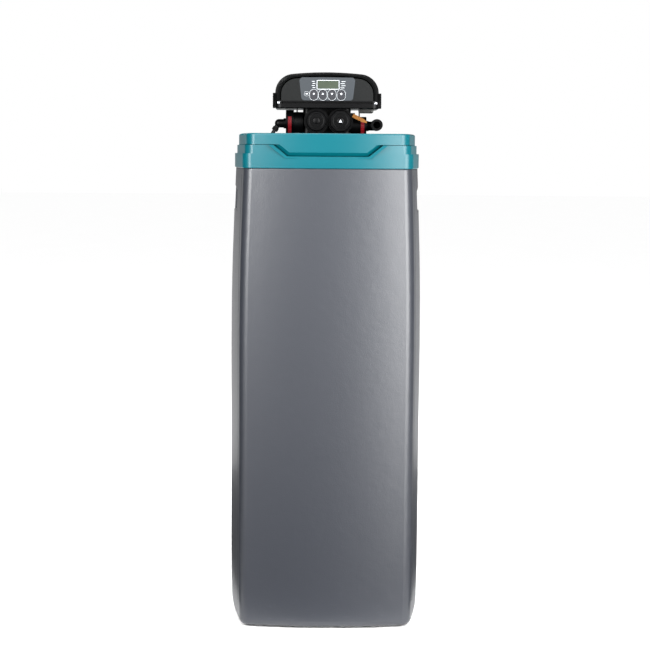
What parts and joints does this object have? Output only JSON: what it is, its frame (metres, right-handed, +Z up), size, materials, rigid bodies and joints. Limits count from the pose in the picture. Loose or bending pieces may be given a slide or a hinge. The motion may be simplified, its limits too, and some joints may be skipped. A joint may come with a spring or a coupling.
{
  "type": "water softener",
  "caption": "Tall grey salt cabinet with a teal lid, resin tank inside, black control valve and display head on top.",
  "frame": {"origin": "on the floor under the middle of the cabinet", "axes": "+Z up, the front faces -Y, +X to the right as seen from the front"},
  "size_m": [0.3322, 0.5155, 0.926],
  "materials": {
    "cabinet_grey": "satin blow-moulded polyethylene, blue-grey",
    "teal": "satin teal ABS",
    "black_plastic": "black glass-filled plastic",
    "smoke_black": "glossy black cover",
    "panel_dark": "dark grey front panel",
    "overlay_grey": "printed grey film",
    "key_grey": "grey keys with pale outlines",
    "display_glass": "clear window over a grey-green display",
    "red_plastic": "red levers",
    "amber_plastic": "amber ribbed strap",
    "clear_grey": "smoky grey moulding",
    "white_plastic": "natural white plastic",
    "tube_black": "black polyethylene tube",
    "tank_wrap": "wound glass fibre in resin",
    "resin_beads": "ion exchange beads",
    "rubber": "black rubber",
    "steel": "stainless steel",
    "nylon": "natural nylon",
    "board_green": "green circuit board",
    "motor_metal": "plated motor can",
    "lead_grey": "grey sensor leads"
  },
  "bodies": {
    "softener": {"cabinet": "cabinet_grey", "foot_pads": "rubber", "deck": "teal", "lid_hinge_pins": "steel", "resin_tank": "tank_wrap", "tank_boot": "black_plastic", "resin_bed": "resin_beads", "riser_tube": "white_plastic", "bottom_distributor": "white_plastic", "top_strainer": "white_plastic", "salt_grid": "white_plastic", "brine_well": "white_plastic", "brine_well_cap": "white_plastic", "pickup_tube": "white_plastic", "brine_tube": "tube_black", "tube_grommet": "rubber", "overflow_elbow": "black_plastic", "overflow_nut": "black_plastic", "valve_body": "black_plastic", "neck_seal": "rubber", "injector": "nylon", "flow_control": "rubber", "injector_cap": "black_plastic", "flow_cap": "black_plastic", "brine_valve": "black_plastic", "brine_elbow": "black_plastic", "brine_nut": "black_plastic", "drain_valve": "black_plastic", "drain_elbow": "black_plastic", "drain_strap": "amber_plastic", "pipe_tails": "black_plastic", "union_nuts": "black_plastic", "head_tray": "black_plastic", "front_panel": "panel_dark", "panel_overlay": "overlay_grey", "display_window": "display_glass", "key_pad": "rubber", "circuit_board": "board_green", "motor": "motor_metal", "motor_housing": "clear_grey", "spring_plate": "steel", "sensor_leads": "lead_grey", "cable_gland": "black_plastic", "head_screws": "steel"},
    "salt_lid": {"salt_lid": "teal"},
    "head_cover": {"head_cover": "smoke_black"},
    "brine_lever": {"brine_lever": "red_plastic"},
    "drain_lever": {"drain_lever": "red_plastic"},
    "brine_float": {"brine_float": "white_plastic"},
    "camshaft": {"camshaft": "nylon", "drive_gear": "nylon"},
    "pinion": {"pinion": "steel"},
    "button_1": {"button_1": "key_grey"},
    "flapper_1": {"flapper_1": "nylon"},
    "button_2": {"button_2": "key_grey"},
    "flapper_2": {"flapper_2": "nylon"},
    "button_3": {"button_3": "key_grey"},
    "flapper_3": {"flapper_3": "nylon"},
    "button_4": {"button_4": "key_grey"},
    "flapper_4": {"flapper_4": "nylon"}
  },
  "joints": [
    {"name": "lid_hinge", "type": "hinge", "parent": "softener", "child": "salt_lid", "pos_m": [0, -0.044, 0.813], "axis": [-1, 0, 0], "range_deg": [0, 80]},
    {"name": "cover_lift", "type": "slide", "parent": "softener", "child": "head_cover", "axis": [0, 0, 1], "range_m": [0, 0.09]},
    {"name": "brine_lever_turn", "type": "hinge", "parent": "softener", "child": "brine_lever", "pos_m": [-0.065, 0.032, 0.8395], "axis": [1, 0, 0], "range_deg": [0, 90]},
    {"name": "drain_lever_turn", "type": "hinge", "parent": "softener", "child": "drain_lever", "pos_m": [0.0625, 0.032, 0.8327], "axis": [1, 0, 0], "range_deg": [0, 90]},
    {"name": "float_slide", "type": "slide", "parent": "softener", "child": "brine_float", "axis": [0, 0, 1], "range_m": [0, 0.5]},
    {"name": "camshaft_turn", "type": "hinge", "parent": "softener", "child": "camshaft", "pos_m": [0, 0.078, 0.888], "axis": [1, 0, 0], "continuous": true},
    {"name": "pinion_turn", "type": "hinge", "parent": "softener", "child": "pinion", "pos_m": [0.052, 0.06076, 0.87354], "axis": [1, 0, 0], "continuous": true},
    {"name": "button_1_press", "type": "slide", "parent": "softener", "child": "button_1", "axis": [0, 1, 0], "range_m": [0, 0.001], "stiffness_N_per_m": 400, "springref_m": -0.001},
    {"name": "button_2_press", "type": "slide", "parent": "softener", "child": "button_2", "axis": [0, 1, 0], "range_m": [0, 0.001], "stiffness_N_per_m": 400, "springref_m": -0.001},
    {"name": "button_3_press", "type": "slide", "parent": "softener", "child": "button_3", "axis": [0, 1, 0], "range_m": [0, 0.001], "stiffness_N_per_m": 400, "springref_m": -0.001},
    {"name": "button_4_press", "type": "slide", "parent": "softener", "child": "button_4", "axis": [0, 1, 0], "range_m": [0, 0.001], "stiffness_N_per_m": 400, "springref_m": -0.001},
    {"name": "flapper_1_tilt", "type": "hinge", "parent": "softener", "child": "flapper_1", "pos_m": [0, 0.104, 0.8715], "axis": [1, 0, 0], "range_deg": [0, 4], "stiffness_Nm_per_rad": 0.05, "springref_deg": -5.73},
    {"name": "flapper_2_tilt", "type": "hinge", "parent": "softener", "child": "flapper_2", "pos_m": [0, 0.104, 0.8715], "axis": [1, 0, 0], "range_deg": [0, 4], "stiffness_Nm_per_rad": 0.05, "springref_deg": -5.73},
    {"name": "flapper_3_tilt", "type": "hinge", "parent": "softener", "child": "flapper_3", "pos_m": [0, 0.104, 0.8715], "axis": [1, 0, 0], "range_deg": [0, 4], "stiffness_Nm_per_rad": 0.05, "springref_deg": -5.73},
    {"name": "flapper_4_tilt", "type": "hinge", "parent": "softener", "child": "flapper_4", "pos_m": [0, 0.104, 0.8715], "axis": [1, 0, 0], "range_deg": [0, 4], "stiffness_Nm_per_rad": 0.05, "springref_deg": -5.73}
  ],
  "couplings": [
    {"joint": "pinion_turn", "follows": "camshaft_turn", "ratio": -4}
  ]
}
